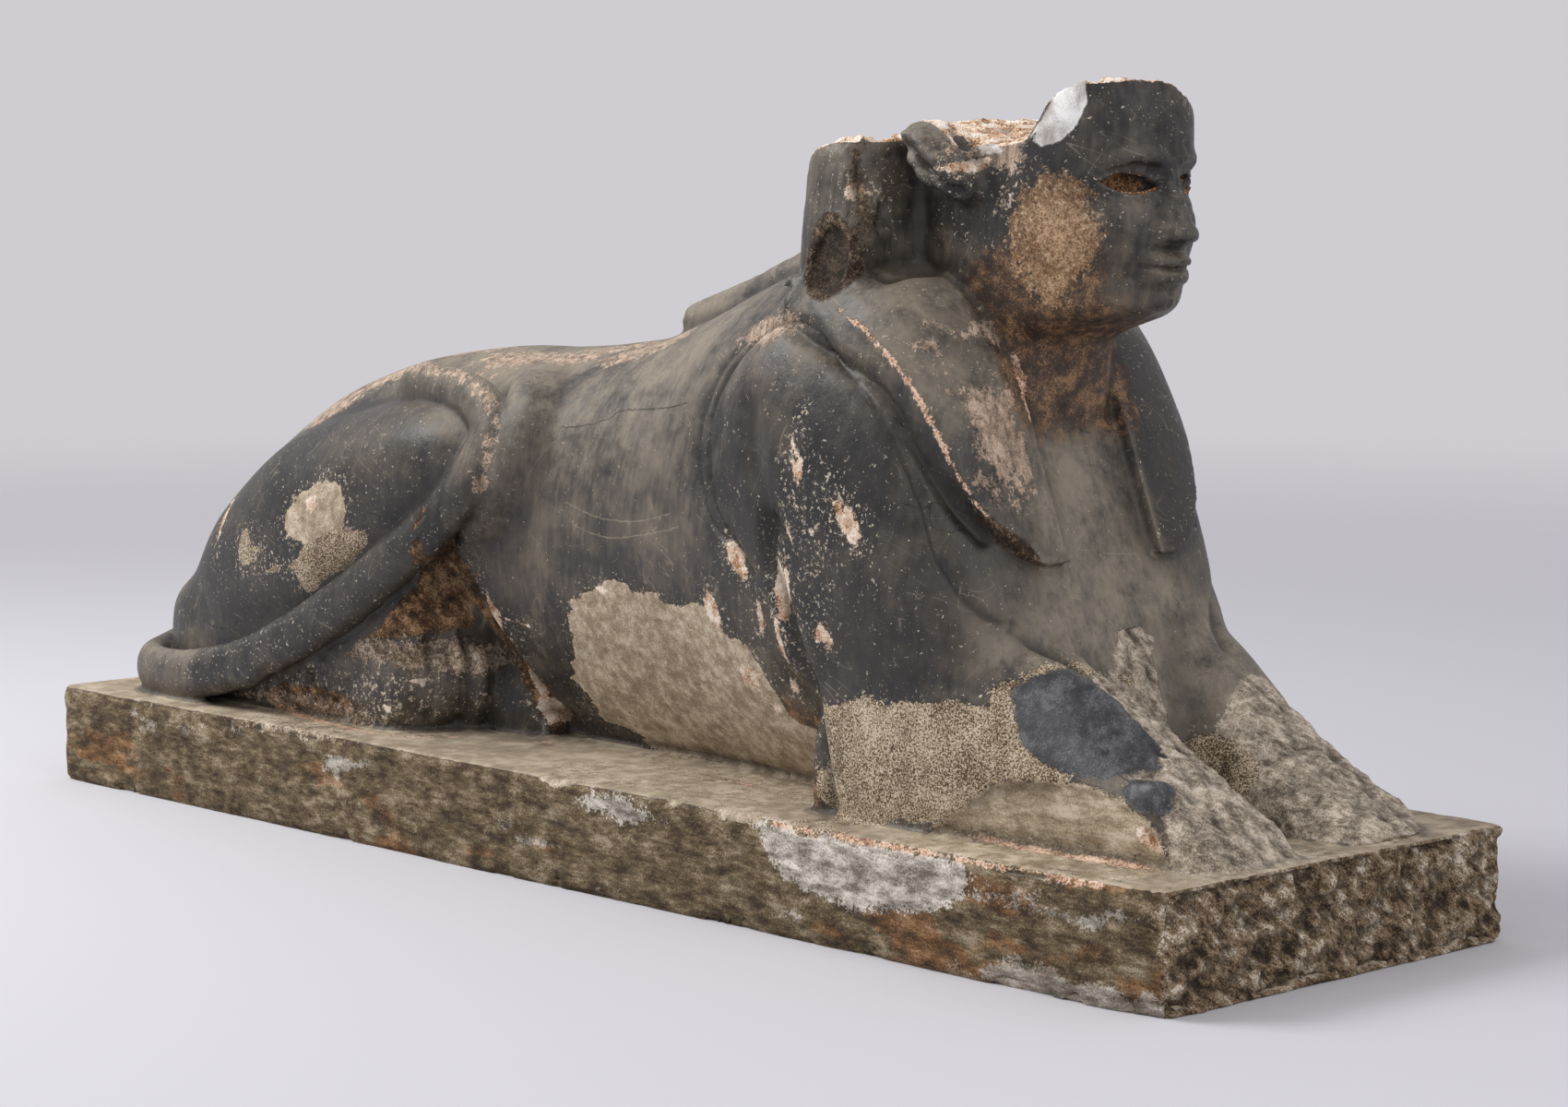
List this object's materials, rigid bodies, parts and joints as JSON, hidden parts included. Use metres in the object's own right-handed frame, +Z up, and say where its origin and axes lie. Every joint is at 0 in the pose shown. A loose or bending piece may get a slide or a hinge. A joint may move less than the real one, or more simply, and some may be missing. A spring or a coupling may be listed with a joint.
{
  "type": "sphinx statue",
  "caption": "Recumbent lion-bodied sphinx on a long low slab, in dark patinated plaster, with a broken head, lost toes and worn edges.",
  "frame": {"origin": "middle of the slab's underside, where the statue stands", "axes": "+X is where the sphinx looks, along the slab; +Y is its left side; +Z is up"},
  "size_m": [1.55, 0.445, 0.7212],
  "materials": {
    "patinated_plaster": "satin"
  },
  "bodies": {
    "root": {"sphinx": "patinated_plaster"}
  },
  "joints": []
}
